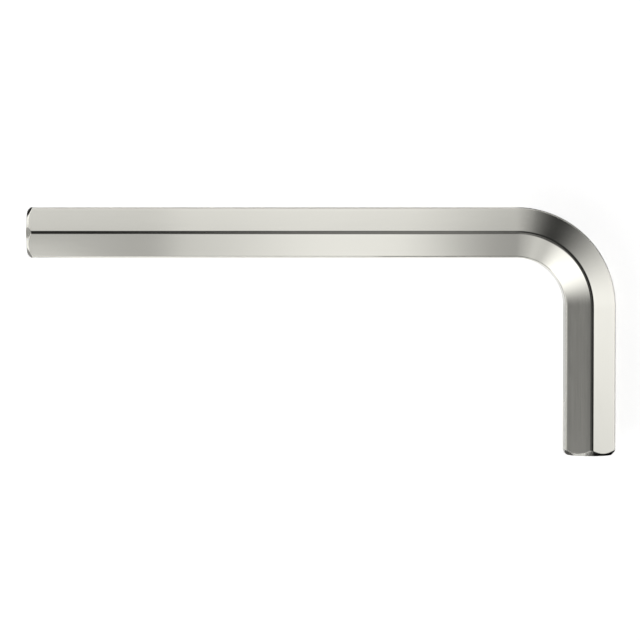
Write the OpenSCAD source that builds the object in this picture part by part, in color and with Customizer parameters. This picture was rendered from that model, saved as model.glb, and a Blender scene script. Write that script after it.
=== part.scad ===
// Hex key, 10 mm size: one hexagonal steel bar, bent once at a right angle.
// It lies flat as it comes to rest: both arms stand on their lower corner edge,
// the long arm points to -X and the short arm to -Y.
// The origin is under the middle of the key's outline, on the surface it lies on.

/* [Bar] */
// Distance between two opposite flats of the bar, which is the size of the key
across_flats = 10; // [6:0.5:14]
// Radius rolled along the six long corner edges of the bar
corner_radius = 0.8; // [0.2:0.1:1.5]

/* [Arms] */
// Overall length of the long arm, from its tip to the outer flat of the short arm
long_arm = 116.5; // [60:0.5:240]
// Overall length of the short arm, from its tip to the outer flat of the long arm
short_arm = 49.2; // [36:0.1:120]

/* [Bend] */
// Radius of the bend at the centre line of the bar
bend_radius = 14.8; // [10:0.1:22]

/* [Tips] */
// How far the turned bevel of a tip reaches in from the middle of each flat
tip_bevel = 0.4; // [0.1:0.1:1.5]
// Angle between the bevel and the axis of the arm
bevel_angle = 45; // [25:5:65]

/* [Hidden] */

$fn = 72;

// Number of flats on the bar, and the turn from one to the next
flats = 6;
flat_turn = 360 / flats;
half_turn = flat_turn / 2;

// Half the distance between opposite flats
half_flats = across_flats / 2;

// Angle between a rolled corner and a flat where they cross, too slight to feel
corner_crease = 3;

// Distance from the bar's axis to the centre of each rolled corner
corner_centre = (half_flats - corner_radius * cos(corner_crease)) / cos(half_turn);

// Distance from the bar's axis to the crest of a rolled corner
corner_reach = corner_centre + corner_radius;

// Width of a flat, between the centres of two rolled corners
flat_width = 2 * corner_centre * sin(half_turn);

// Radius of the round end face that the bevel leaves at a tip
tip_face_radius = half_flats - tip_bevel;

// Lengths of the two straight stretches, from the end of the bend to the tip
bend_end = half_flats + bend_radius;
long_straight = long_arm - bend_end;
short_straight = short_arm - bend_end;

// Centre of the bend, with the outline of the key centred on the origin
bend_centre = [long_arm / 2 - bend_end, short_arm / 2 - bend_end, corner_reach];

// Radius of the turning blank that bevels a tip, safely outside the bar
blank_radius = 2 * corner_reach;

steel = [0.77, 0.76, 0.73];

// Section of the bar: a hexagon with rolled corners, one corner up and one down
module bar_section() {
    intersection() {
        rotate(half_turn) circle(r = half_flats / cos(half_turn), $fn = flats);
        for (i = [0 : flats - 1]) {
            rotate(i * flat_turn) {
                translate([0, -flat_width / 2]) square([across_flats, flat_width]);
                rotate(half_turn) translate([corner_centre, 0]) circle(r = corner_radius);
            }
        }
    }
}

// Cone-ended blank that is left by turning the bevel of a tip at height z = length
module turned_blank(length) {
    bevel_depth = (blank_radius - tip_face_radius) / tan(bevel_angle);
    rotate_extrude() polygon([
        [0, -blank_radius],
        [blank_radius, -blank_radius],
        [blank_radius, length - bevel_depth],
        [tip_face_radius, length],
        [0, length]
    ]);
}

// Straight stretch of bar along +Z, with the turned bevel at its tip
module arm(length) {
    intersection() {
        linear_extrude(height = length) bar_section();
        turned_blank(length);
    }
}

// Quarter turn of bar around the origin, from +X to +Y
module bend() {
    rotate_extrude(angle = 90) translate([bend_radius, 0]) bar_section();
}

// The whole key, one solid
module hex_key() {
    color(steel) translate(bend_centre) {
        bend();
        translate([bend_radius, 0, 0]) rotate([90, 0, 0]) arm(short_straight);
        translate([0, bend_radius, 0]) rotate([90, 0, 90]) mirror([0, 0, 1]) arm(long_straight);
    }
}

hex_key();
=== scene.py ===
import math
import bmesh
import bpy
from mathutils import Matrix, Vector


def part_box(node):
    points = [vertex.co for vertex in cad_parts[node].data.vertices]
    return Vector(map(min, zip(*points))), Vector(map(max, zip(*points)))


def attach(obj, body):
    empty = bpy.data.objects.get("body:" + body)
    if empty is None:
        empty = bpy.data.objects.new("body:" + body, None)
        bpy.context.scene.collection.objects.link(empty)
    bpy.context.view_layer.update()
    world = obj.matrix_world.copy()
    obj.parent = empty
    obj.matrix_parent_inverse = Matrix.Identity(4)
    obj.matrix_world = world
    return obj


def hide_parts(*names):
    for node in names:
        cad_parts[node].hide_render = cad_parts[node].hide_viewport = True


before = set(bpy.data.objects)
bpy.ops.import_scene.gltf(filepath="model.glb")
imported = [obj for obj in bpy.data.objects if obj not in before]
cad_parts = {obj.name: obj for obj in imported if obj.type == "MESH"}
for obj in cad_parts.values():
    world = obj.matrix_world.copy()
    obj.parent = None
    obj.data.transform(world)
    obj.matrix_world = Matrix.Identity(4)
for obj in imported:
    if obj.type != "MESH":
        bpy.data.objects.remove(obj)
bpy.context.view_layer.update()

# Measures of the hex key, in metres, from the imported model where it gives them

MM = 0.001
key_low, key_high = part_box("hex_key")
flat_count = 6
flat_turn = math.tau / flat_count
corner_radius = 0.8 * MM
bend_radius = 14.8 * MM
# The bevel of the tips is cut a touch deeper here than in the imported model
tip_bevel = 0.48 * MM
bevel_slope = math.radians(45)
rest_height = (key_low.z + key_high.z) / 2
corner_reach = (key_high.z - key_low.z) / 2
corner_centre = corner_reach - corner_radius
half_flats = corner_centre * math.cos(flat_turn / 2) + corner_radius
tip_face_radius = half_flats - tip_bevel

# The bar is made straight, lying along Y, and bent afterwards
bar_x = key_high.x - half_flats
bend_start = key_high.y - half_flats - bend_radius
bend_length = bend_radius * math.pi / 2
bend_centre = Vector((bar_x - bend_radius, bend_start, rest_height))
short_tip = key_low.y
long_tip = bend_start + bend_length + (bend_centre.x - key_low.x)

# Soft edges left by polishing before the bar is plated
scallop_radius = 0.16 * MM
rim_radius = 0.25 * MM


def fillet_reach(radius, turn):
    """How far a fillet reaches from the edge that it rounds."""
    return radius * math.tan(turn / 2)


scallop_reach = fillet_reach(scallop_radius, bevel_slope)
rim_reach = fillet_reach(rim_radius, math.pi / 2 - bevel_slope)


# The bar


def grown(result, kind):
    """The vertices or edges among what an operator made."""
    return [part for part in result["geom"] if isinstance(part, kind)]


def draw_section(shape):
    """Ring of edges round the bar at the start of the bend: six rolled corners joined by flats."""
    corner_steps = 8
    flat_steps = 14
    # A narrow strip beside each corner keeps the flats flat
    flat_edge = 0.03 * MM
    flat_width = 2 * corner_centre * math.sin(flat_turn / 2)
    flat_step = (flat_width - 2 * flat_edge) / flat_steps
    strips = [flat_edge] + [flat_step] * flat_steps + [flat_edge]
    axis = Vector((bar_x, bend_start, rest_height))
    first_corner = Vector((0, 0, -1))
    first_normal = Matrix.Rotation(-flat_turn / 2, 3, "Y") @ first_corner
    last = shape.verts.new(axis + first_corner * corner_centre + first_normal * corner_radius)
    for corner in range(flat_count):
        toward = Matrix.Rotation(corner * flat_turn, 3, "Y") @ first_corner
        following = Matrix.Rotation(flat_turn, 3, "Y") @ toward
        rolled = bmesh.ops.spin(
            shape, geom=[last], cent=axis + toward * corner_centre, axis=(0, 1, 0),
            angle=flat_turn, steps=corner_steps
        )
        last = rolled["geom_last"][0]
        along_flat = (following - toward).normalized()
        for width in strips:
            last = bmesh.ops.extrude_vert_indiv(shape, verts=[last])["verts"][0]
            bmesh.ops.translate(shape, verts=[last], vec=along_flat * width)
    bmesh.ops.remove_doubles(shape, verts=shape.verts, dist=flat_edge / 10)
    return list(shape.edges)


def draw_out(shape, ring, steps):
    """Extrudes a ring along the bar in steps, and gives the last ring back."""
    for step in steps:
        result = bmesh.ops.extrude_edge_only(shape, edges=ring)
        verts = grown(result, bmesh.types.BMVert)
        bmesh.ops.translate(shape, verts=verts, vec=(0, step, 0))
        fresh = set(verts)
        ring = [edge for edge in grown(result, bmesh.types.BMEdge) if fresh.issuperset(edge.verts)]
    return ring


def ring_verts(ring):
    """The vertices that a ring of edges joins."""
    return {vert for edge in ring for vert in edge.verts}


def from_axis(vert):
    """Where a vertex of the straight bar lies across the bar, measured from its axis."""
    return Vector((vert.co.x - bar_x, 0, vert.co.z - rest_height))


def turn_tip(shape, ring, tip, outward):
    """Cuts the open end of the bar on a cone, deeper at the corners than at the flats, and closes it."""
    # Distance from the last full ring to where the fillet starts
    margin = 0.1 * MM
    last_full_ring = draw_out(shape, ring, [0])
    for vert in ring_verts(last_full_ring):
        cut = (from_axis(vert).length - tip_face_radius) / math.tan(bevel_slope)
        vert.co.y = tip - outward * (cut + scallop_reach + margin)
    scallops = draw_out(shape, last_full_ring, [0])
    for vert in ring_verts(scallops):
        vert.co.y += outward * (scallop_reach + margin)
    rim = draw_out(shape, scallops, [0])
    for vert in ring_verts(rim):
        across = from_axis(vert).normalized() * tip_face_radius
        vert.co = Vector((bar_x + across.x, tip, rest_height + across.z))
    bmesh.ops.edgeloop_fill(shape, edges=rim)
    return scallops


def tip_faces(shape):
    """The two flat end faces, which are the only faces with more than four corners."""
    return [face for face in shape.faces if len(face.verts) > 4]


def round_edges(shape, edges, reach, segments):
    """Rounds a ring of edges with a fillet that reaches this far to each side."""
    bmesh.ops.bevel(
        shape, geom=list(ring_verts(edges)) + edges, offset=reach, offset_type="OFFSET",
        affect="EDGES", segments=segments, profile=0.5, material=-1
    )


def mark_bar(shape):
    """Keeps each vertex's place on the straight bar, in millimetres, and whether the lathe cut there."""
    place = shape.verts.layers.float_vector.new("bar_place")
    turned = shape.verts.layers.float.new("turned")
    for vert in shape.verts:
        across = from_axis(vert)
        vert[place] = Vector((across.x, vert.co.y - short_tip, across.z)) / MM
        setback = min(vert.co.y - short_tip, long_tip - vert.co.y)
        cut = max(across.length - tip_face_radius, 0) + scallop_reach / 2
        vert[turned] = 1.0 if setback < cut else 0.0


def bend_bar(shape):
    """Bends the straight bar round the bend's centre until its long arm points to -X."""
    for vert in shape.verts:
        travel = min(max(vert.co.y - bend_start, 0), bend_length)
        vert.co.y -= travel
        turn = Matrix.Rotation(travel / bend_radius, 3, "Z")
        vert.co = bend_centre + turn @ (vert.co - bend_centre)


def arm_steps(length, count):
    """Even steps along an arm, after a close ring beside the bend that keeps the straight flats flat."""
    near_bend = 0.4 * MM
    return [near_bend] + [(length - near_bend) / count] * count


def make_key():
    """The whole bar: drawn straight, turned and rounded at both tips, and then bent."""
    short_arm_steps, bend_steps, long_arm_steps = 8, 64, 24
    fillet_segments = 6
    end_face_margin = 0.05 * MM
    tip_room = 2 * (corner_reach - tip_face_radius)
    short_steps = arm_steps(bend_start - short_tip - tip_room, short_arm_steps)
    long_steps = arm_steps(long_tip - bend_start - bend_length - tip_room, long_arm_steps)
    shape = bmesh.new()
    ring = draw_section(shape)
    short_end = draw_out(shape, ring, [-step for step in short_steps])
    long_end = draw_out(shape, ring, [bend_length / bend_steps] * bend_steps + long_steps)
    scallops = turn_tip(shape, short_end, short_tip, -1) + turn_tip(shape, long_end, long_tip, 1)
    round_edges(shape, scallops, scallop_reach, fillet_segments)
    rims = [edge for face in tip_faces(shape) for edge in face.edges]
    round_edges(shape, rims, rim_reach, fillet_segments)
    bmesh.ops.inset_region(shape, faces=tip_faces(shape), thickness=end_face_margin)
    mark_bar(shape)
    bend_bar(shape)
    bmesh.ops.recalc_face_normals(shape, faces=shape.faces)
    for face in shape.faces:
        face.smooth = True
    mesh = bpy.data.meshes.new("plated_bar")
    shape.to_mesh(mesh)
    shape.free()
    key = bpy.data.objects.new("plated_bar", mesh)
    bpy.context.scene.collection.objects.link(key)
    return key


# Nodes for the plating and the studio


def feed(tree, socket, value):
    """Gives a socket a number, or links another node's output to it."""
    if isinstance(value, (int, float)):
        socket.default_value = value
    else:
        tree.links.new(value, socket)


def math_node(tree, operation, *values):
    """A Math node whose inputs are numbers or other nodes' outputs."""
    node = tree.nodes.new("ShaderNodeMath")
    node.operation = operation
    for socket, value in zip(node.inputs, values):
        feed(tree, socket, value)
    return node.outputs[0]


def soft_step(tree, value, middle, blur):
    """Rises smoothly from 0 to 1 as the value passes the middle."""
    node = tree.nodes.new("ShaderNodeMapRange")
    node.interpolation_type = "SMOOTHSTEP"
    tree.links.new(value, node.inputs["Value"])
    tree.links.new(math_node(tree, "SUBTRACT", middle, blur), node.inputs["From Min"])
    tree.links.new(math_node(tree, "ADD", middle, blur), node.inputs["From Max"])
    return node.outputs["Result"]


def soft_fall(tree, value, middle, blur):
    """Falls smoothly from 1 to 0 as the value passes the middle."""
    return math_node(tree, "SUBTRACT", 1, soft_step(tree, value, middle, blur))


def soft_band(tree, value, start, start_blur, end, end_blur):
    """Rises from 0 to 1 at the start and falls back to 0 at the end."""
    rise = soft_step(tree, value, start, start_blur)
    return math_node(tree, "MULTIPLY", rise, soft_fall(tree, value, end, end_blur))


def blend(tree, share, first, second):
    """First value where the share is 0, second where it is 1."""
    node = tree.nodes.new("ShaderNodeMix")
    node.data_type = "FLOAT"
    feed(tree, node.inputs["Factor"], share)
    feed(tree, node.inputs["A"], first)
    feed(tree, node.inputs["B"], second)
    return node.outputs["Result"]


def split(tree, vector):
    """The X, Y and Z of a vector."""
    node = tree.nodes.new("ShaderNodeSeparateXYZ")
    tree.links.new(vector, node.inputs[0])
    return node.outputs


def noise(tree, place, density, detail):
    """Noise from 0 to 1, with this many features per millimetre along X, Y and Z."""
    scaled = tree.nodes.new("ShaderNodeMapping")
    scaled.inputs["Scale"].default_value = density
    tree.links.new(place, scaled.inputs["Vector"])
    node = tree.nodes.new("ShaderNodeTexNoise")
    node.inputs["Scale"].default_value = 1
    node.inputs["Detail"].default_value = detail
    tree.links.new(scaled.outputs[0], node.inputs["Vector"])
    return node.outputs["Fac"]


def attribute(tree, name, output):
    """What a mesh keeps at its vertices under this name."""
    node = tree.nodes.new("ShaderNodeAttribute")
    node.attribute_name = name
    return node.outputs[output]


# Satin nickel over drawn steel


def nickel_plate():
    """Plating that keeps the drawn grain along the bar and the fine rings of the turned tips."""
    grain_density, grain_detail = (5, 0.07, 5), 2.5
    patch_density, patch_detail = (0.3, 0.1, 0.3), 2
    ring_pitch, ring_height = 0.16, 0.18
    dull_nickel = (0.738, 0.728, 0.672, 1)
    bright_nickel = (0.768, 0.758, 0.7, 1)
    fine_satin, coarse_satin = 0.115, 0.165
    corner_satin, corner_blur = 0.11, 0.2
    turned_satin = 0.15
    mean_mark, mark_contrast = 0.5, 0.06
    patch_relief = 0.012 * MM
    mark_relief = 0.0022 * MM

    material = bpy.data.materials.new("satin_nickel_plate")
    material.use_nodes = True
    tree = material.node_tree
    plate = tree.nodes["Principled BSDF"]
    plate.inputs["Metallic"].default_value = 1
    place = attribute(tree, "bar_place", "Vector")
    turned = attribute(tree, "turned", "Fac")
    axes = split(tree, place)
    radius = math_node(tree, "SQRT", math_node(
        tree, "ADD", math_node(tree, "POWER", axes["X"], 2), math_node(tree, "POWER", axes["Z"], 2)
    ))
    grain = noise(tree, place, grain_density, grain_detail)
    patches = noise(tree, place, patch_density, patch_detail)
    ring_wave = math_node(tree, "SINE", math_node(tree, "MULTIPLY", radius, math.tau / ring_pitch))
    rings = math_node(tree, "MULTIPLY_ADD", ring_wave, ring_height, mean_mark)
    marks = blend(tree, turned, grain, rings)

    tint = tree.nodes.new("ShaderNodeMix")
    tint.data_type = "RGBA"
    tint.inputs["A"].default_value = dull_nickel
    tint.inputs["B"].default_value = bright_nickel
    tree.links.new(blend(tree, patches, grain, patches), tint.inputs["Factor"])
    tree.links.new(tint.outputs["Result"], plate.inputs["Base Color"])

    on_corner = soft_step(tree, radius, (half_flats + corner_reach) / 2 / MM, corner_blur)
    drawn = blend(tree, patches, fine_satin, coarse_satin)
    rubbed = blend(tree, on_corner, drawn, corner_satin)
    above_mean = math_node(tree, "SUBTRACT", marks, mean_mark)
    satin = math_node(tree, "MULTIPLY_ADD", above_mean, mark_contrast, rubbed)
    tree.links.new(blend(tree, turned, satin, turned_satin), plate.inputs["Roughness"])

    waves = tree.nodes.new("ShaderNodeBump")
    waves.inputs["Distance"].default_value = patch_relief
    tree.links.new(patches, waves.inputs["Height"])
    relief = tree.nodes.new("ShaderNodeBump")
    relief.inputs["Distance"].default_value = mark_relief
    tree.links.new(marks, relief.inputs["Height"])
    tree.links.new(waves.outputs["Normal"], relief.inputs["Normal"])
    tree.links.new(relief.outputs["Normal"], plate.inputs["Normal"])
    return material


# Studio floor and cards


def studio_object(name, shape, material):
    """Something of the studio, which is no part of the key."""
    mesh = bpy.data.meshes.new(name)
    shape.to_mesh(mesh)
    shape.free()
    mesh.materials.append(material)
    thing = bpy.data.objects.new(name, mesh)
    bpy.context.scene.collection.objects.link(thing)
    return thing


def blank_material(name):
    """A material without nodes, and its node tree."""
    material = bpy.data.materials.new(name)
    material.use_nodes = True
    material.node_tree.nodes.clear()
    return material, material.node_tree


def emission(tree, brightness):
    """Light as bright as another node says."""
    node = tree.nodes.new("ShaderNodeEmission")
    tree.links.new(brightness, node.inputs["Color"])
    return node.outputs[0]


def add_shaders(tree, first, second):
    """The light of two shaders together."""
    node = tree.nodes.new("ShaderNodeAddShader")
    tree.links.new(first, node.inputs[0])
    tree.links.new(second, node.inputs[1])
    return node.outputs[0]


def see_through(tree, shader, cover):
    """Shader that shows where the cover is 1, and is clear where it is 0."""
    clear = tree.nodes.new("ShaderNodeBsdfTransparent")
    node = tree.nodes.new("ShaderNodeMixShader")
    tree.links.new(cover, node.inputs["Fac"])
    tree.links.new(clear.outputs[0], node.inputs[1])
    tree.links.new(shader, node.inputs[2])
    return node.outputs[0]


def use_surface(tree, shader):
    """Makes a shader the surface of its material."""
    output = tree.nodes.new("ShaderNodeOutputMaterial")
    tree.links.new(shader, output.inputs["Surface"])


def make_floor():
    """White paper that keeps the key's shadow, and looks white to the camera, in metal and through glass."""
    radius, sides = 4, 96
    paper_shade = 0.8
    shade_in_metal = 2.3
    paper_glow = 0.8
    paper, tree = blank_material("white_paper")
    rays = tree.nodes.new("ShaderNodeLightPath").outputs
    matt = tree.nodes.new("ShaderNodeBsdfDiffuse")
    added = shade_in_metal - paper_shade
    shade = math_node(tree, "MULTIPLY_ADD", rays["Is Glossy Ray"], added, paper_shade)
    tree.links.new(shade, matt.inputs["Color"])
    looked_at = math_node(tree, "MAXIMUM", rays["Is Camera Ray"], rays["Is Transmission Ray"])
    glow = emission(tree, math_node(tree, "MULTIPLY", looked_at, paper_glow))
    use_surface(tree, add_shaders(tree, matt.outputs[0], glow))
    shape = bmesh.new()
    bmesh.ops.create_circle(shape, cap_ends=True, segments=sides, radius=radius)
    studio_object("studio_floor", shape, paper)


def card_shape(middle, size):
    """A flat card, in millimetres. The zero in its size tells which way it faces."""
    shape = bmesh.new()
    half_side = 0.5 * MM
    bmesh.ops.create_grid(shape, x_segments=1, y_segments=1, size=half_side)
    turned_about = {0: "Y", 1: "X"}.get(size.index(0))
    if turned_about:
        turn = Matrix.Rotation(math.pi / 2, 3, turned_about)
        bmesh.ops.rotate(shape, verts=shape.verts, matrix=turn)
    bmesh.ops.scale(shape, verts=shape.verts, vec=[side or 1 for side in size])
    bmesh.ops.translate(shape, verts=shape.verts, vec=Vector(middle) * MM)
    return shape


def stand_card(name, shape, material):
    """Sets up a card that shows only in the polish, and casts no shadow."""
    card = studio_object(name, shape, material)
    card.visible_camera = False
    card.visible_diffuse = False
    card.visible_transmission = False
    card.visible_volume_scatter = False
    card.visible_shadow = False


# Small cards that glow, and show only in the polish of the tips, the short arm, the bend and the long arm:
# middle of the card and its size in millimetres along X, Y and Z, and how bright it glows.
# Where two overlap, the one nearer to the key hides the other
SMALL_CARDS = {
    "grey_left_of_long_tip": ((-98, 19.6, 6), (0, 17, 14), 0.38),
    "black_behind_long_tip": ((-64.4, 29.6, 0.2), (10.8, 9, 0), 0.0),
    "grey_before_long_tip": ((-64.4, 9.6, 0.2), (10.8, 9, 0), 0.3),
    "white_behind_long_tip": ((-99, 34, 0.1), (64, 10, 0), 1.22),
    "white_before_long_tip": ((-99, 5.2, 0.1), (64, 10, 0), 1.22),
    "black_right_of_short_tip": ((74, -45, 0.2), (34, 38, 0), 0.0),
    "black_beyond_short_tip": ((95, -64.6, 6), (68, 0, 14), 0.0),
    "dark_beyond_short_tip": ((59, -64.8, 6), (10, 0, 14), 0.12),
    "grey_beyond_short_tip": ((53, -65, 6), (12, 0, 14), 0.32),
    "dark_left_of_short_tip": ((45, -31, 0.2), (7, 11, 0), 0.1),
    "grey_left_of_short_arm": ((40.6, -10, 0.16), (15.2, 31, 0), 0.58),
    "dark_before_short_tip": ((28.7, -30, 16), (33.5, 0, 16), 0.12),
    "white_before_long_arm": ((-15.5, -9.5, 0.13), (79, 41, 0), 0.95),
    "dark_outside_bend": ((57.5, 30, 0.07), (35, 28, 0), 0.07),
    "grey_inside_bend": ((35, 1, 0.1), (30, 28, 0), 0.88),
    "white_inside_bend": ((42, 8, 4), (4.6, 0, 8), 1.15),
}

# Width of the strip in which a small card fades out, along its edge, in millimetres
card_fade = 3


def mark_card(shape, middle, size, shade):
    """Keeps how bright a card is, how far it reaches, and each vertex's place on it, in millimetres."""
    from_middle = shape.verts.layers.float_vector.new("from_middle")
    half_size = shape.verts.layers.float_vector.new("half_size")
    brightness = shape.verts.layers.float.new("brightness")
    for vert in shape.verts:
        vert[from_middle] = vert.co / MM - Vector(middle)
        vert[half_size] = [side / 2 or card_fade for side in size]
        vert[brightness] = shade


def soft_card_glow():
    """Glow of the small cards, as bright as each card says, which fades out at the edges. No lamp lights the
    cards: they give off this light themselves.
    """
    card_glow, tree = blank_material("soft_card_glow")
    from_middle = split(tree, attribute(tree, "from_middle", "Vector"))
    half_size = split(tree, attribute(tree, "half_size", "Vector"))
    cover = 1
    for axis in "XYZ":
        aside = math_node(tree, "ABSOLUTE", from_middle[axis])
        inside = soft_fall(tree, aside, half_size[axis], card_fade / 2)
        cover = math_node(tree, "MULTIPLY", inside, cover)
    # Each card glows at its own brightness, and a black card gives no light
    light = emission(tree, attribute(tree, "brightness", "Fac"))
    use_surface(tree, see_through(tree, light, cover))
    return card_glow


def make_small_cards():
    """All small cards, each cut so large that its glow can fade out."""
    card_glow = soft_card_glow()
    for name, (middle, size, shade) in SMALL_CARDS.items():
        shape = card_shape(middle, [side and side + card_fade for side in size])
        mark_card(shape, middle, size, shade)
        stand_card(name, shape, card_glow)


# Groups that work out the light of reflectors and panels


def light_group(name, labels):
    """A node group with these numbers going in and one number, Light, coming out."""
    group = bpy.data.node_groups.new(name, "ShaderNodeTree")
    for label in labels:
        group.interface.new_socket(name=label, in_out="INPUT", socket_type="NodeSocketFloat")
    group.interface.new_socket(name="Light", in_out="OUTPUT", socket_type="NodeSocketFloat")
    entry = group.nodes.new("NodeGroupInput").outputs
    result = group.nodes.new("NodeGroupOutput").inputs["Light"]
    return group, entry, result


def use_group(tree, group, values):
    """The light that a group gives for numbers or other nodes' outputs."""
    node = tree.nodes.new("ShaderNodeGroup")
    node.node_tree = group
    for socket, value in zip(node.inputs, values):
        feed(tree, socket, value)
    return node.outputs["Light"]


# Reflectors beside the long arm: place along Y in millimetres, brightness of the quick step at its left
# and of the slow swell after it, where it has fallen to half at its right, brightness of its low part,
# and where that has fallen to half
REFLECTORS = {
    "reflector_in_front": (-45, 0.24, 0.33, 28.5, 0.31, -54),
    "reflector_behind": (84.2, 0.13, 0.13, 31, 0.09, 90),
}


def reflector_group():
    """Light of a reflector at a place on it, in millimetres along X and above the floor."""
    labels = ("Along", "Height", "Step Light", "Swell Light", "End", "Low Light", "Low End")
    group, entry, result = light_group("reflector", labels)
    step_start, step_blur = -34, 5
    swell_start, swell_blur = -14, 20
    end_blur = 14
    bottom, top, edge_blur = 33, 60, 5
    low_top, low_blur = 45.7, 4.5
    step_rise = soft_step(group, entry["Along"], step_start, step_blur)
    swell_rise = soft_step(group, entry["Along"], swell_start, swell_blur)
    step = math_node(group, "MULTIPLY", step_rise, entry["Step Light"])
    swell = math_node(group, "MULTIPLY_ADD", swell_rise, entry["Swell Light"], step)
    main = math_node(group, "MULTIPLY", swell, soft_fall(group, entry["Along"], entry["End"], end_blur))
    upright = soft_band(group, entry["Height"], bottom, edge_blur, top, edge_blur)
    low_across = soft_fall(group, entry["Along"], entry["Low End"], end_blur)
    low_upright = soft_fall(group, entry["Height"], low_top, low_blur)
    low_part = math_node(group, "MULTIPLY", low_across, low_upright)
    low = math_node(group, "MULTIPLY", low_part, entry["Low Light"])
    group.links.new(math_node(group, "MULTIPLY_ADD", main, upright, low), result)
    return group


def make_reflectors():
    """Reflectors low beside the long arm, which light the middle of its two upper flats."""
    group = reflector_group()
    middle_along, middle_height = -7.5, 47
    length, height = 135, 50
    for name, (across, *lights) in REFLECTORS.items():
        foil, tree = blank_material(name)
        axes = split(tree, tree.nodes.new("ShaderNodeTexCoord").outputs["Object"])
        place = [math_node(tree, "DIVIDE", axes[axis], MM) for axis in "XZ"]
        light = emission(tree, use_group(tree, group, place + lights))
        clear = tree.nodes.new("ShaderNodeBsdfTransparent")
        use_surface(tree, add_shaders(tree, light, clear.outputs[0]))
        shape = card_shape((middle_along, across, middle_height), (length, 0, height))
        stand_card(name, shape, foil)


# Light panels far off, all round the key. Directions are in degrees, counted from +X towards +Y,
# and right and left are as seen from the key: direction, reach and blur to the right,
# reach and blur to the left, bottom and top above the horizon, blur of these, strength
PANELS = {
    "all_round": (0, 181, 1, 181, 1, -90, 44, 8, 0.03),
    "right": (12, 19, 6, 18.5, 28, -20, 32, 4, 1.17),
    "right_low": (-21, 13, 5, 13, 5, -20, 24, 5, 1.0),
    "back": (95, 17.5, 18, 12, 6, -20, 44, 6, 0.67),
    "back_low": (95, 14, 12, 40, 12, 4, 24, 4, 0.14),
    "back_left": (131, 28, 4, 22, 8, -20, 30, 5, 1.3),
    "left": (180, 20, 10, 3, 9, -20, 78, 8, 0.204),
    "left_low": (180, 20, 10, 12, 8, -20, 33, 3, 0.35),
    "front_left": (222, 23.5, 18, 15, 18, -20, 58, 6, 1.5),
    "front": (262, 9, 7, 18, 12, -20, 48, 6, 0.475),
    "front_low": (270, 16, 8, 20, 12, -90, 14, 8, 0.38),
    "front_left_low": (250, 12, 6, 10, 5, -90, 22, 6, 0.4),
}


def panel_group():
    """A soft-edged light panel, by the direction in which it stands."""
    labels = (
        "Azimuth", "Elevation", "Toward", "Right Reach", "Right Blur", "Left Reach", "Left Blur",
        "Bottom", "Top", "Edge Blur", "Strength"
    )
    group, entry, result = light_group("panel", labels)
    half_circle = 180
    from_toward = math_node(group, "SUBTRACT", entry["Azimuth"], entry["Toward"])
    aside = math_node(group, "WRAP", from_toward, half_circle, -half_circle)
    right_edge = math_node(group, "MULTIPLY", entry["Right Reach"], -1)
    across = soft_band(
        group, aside, right_edge, entry["Right Blur"], entry["Left Reach"], entry["Left Blur"]
    )
    upright = soft_band(
        group, entry["Elevation"], entry["Bottom"], entry["Edge Blur"], entry["Top"], entry["Edge Blur"]
    )
    shape = math_node(group, "MULTIPLY", across, upright)
    group.links.new(math_node(group, "MULTIPLY", shape, entry["Strength"]), result)
    return group


def overhead_strip(tree, axes, elevation):
    """Faint strip of light over the camera, which the upper corner of the bar mirrors as its dark line."""
    start, start_blur = -0.02, 0.042
    end, end_blur = 0.074, 0.03
    lowest, lowest_blur = 52, 6
    strength = 0.23
    across = soft_band(tree, axes["X"], start, start_blur, end, end_blur)
    strip = math_node(tree, "MULTIPLY", soft_step(tree, elevation, lowest, lowest_blur), across)
    return math_node(tree, "MULTIPLY", strip, strength)


def light_studio():
    """Panels round the key, and darkness above but for the strip. Camera and glass see white instead."""
    dark_room = 0.022
    world = bpy.data.worlds.new("soft_studio")
    bpy.context.scene.world = world
    world.use_nodes = True
    tree = world.node_tree
    tree.nodes.clear()
    axes = split(tree, tree.nodes.new("ShaderNodeTexCoord").outputs["Generated"])
    azimuth = math_node(tree, "DEGREES", math_node(tree, "ARCTAN2", axes["Y"], axes["X"]))
    elevation = math_node(tree, "DEGREES", math_node(tree, "ARCSINE", axes["Z"]))
    total = math_node(tree, "ADD", overhead_strip(tree, axes, elevation), dark_room)
    group = panel_group()
    for values in PANELS.values():
        total = math_node(tree, "ADD", total, use_group(tree, group, (azimuth, elevation, *values)))
    room = tree.nodes.new("ShaderNodeBackground")
    tree.links.new(total, room.inputs["Color"])
    white = tree.nodes.new("ShaderNodeBackground")
    white.inputs["Color"].default_value = (1, 1, 1, 1)
    rays = tree.nodes.new("ShaderNodeLightPath").outputs
    looked_at = math_node(tree, "MAXIMUM", rays["Is Camera Ray"], rays["Is Transmission Ray"])
    shown = tree.nodes.new("ShaderNodeMixShader")
    tree.links.new(looked_at, shown.inputs[0])
    tree.links.new(room.outputs[0], shown.inputs[1])
    tree.links.new(white.outputs[0], shown.inputs[2])
    output = tree.nodes.new("ShaderNodeOutputWorld")
    tree.links.new(shown.outputs[0], output.inputs["Surface"])


def set_camera():
    """Camera over the long arm, tilted a little until the whole key is in the picture."""
    data = bpy.data.cameras.new("camera")
    data.sensor_width = 36
    data.lens = 150
    data.clip_start = 0.01
    camera = bpy.data.objects.new("camera", data)
    bpy.context.scene.collection.objects.link(camera)
    aim = Vector((-0.3 * MM, 2.2 * MM, rest_height))
    to_camera = Vector((-0.7 * MM, 18.3 * MM, 530 * MM))
    place = aim + to_camera
    back = to_camera.normalized()
    top_of_picture = Vector((0, 1, 0))
    right = top_of_picture.cross(back).normalized()
    up = back.cross(right)
    camera.matrix_world = Matrix.Translation(place) @ Matrix((right, up, back)).transposed().to_4x4()
    bpy.context.scene.camera = camera


key = make_key()
key.data.materials.append(nickel_plate())
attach(key, "root")
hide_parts("hex_key")

make_floor()
make_small_cards()
make_reflectors()
light_studio()
set_camera()
bpy.context.scene.view_settings.view_transform = "Standard"
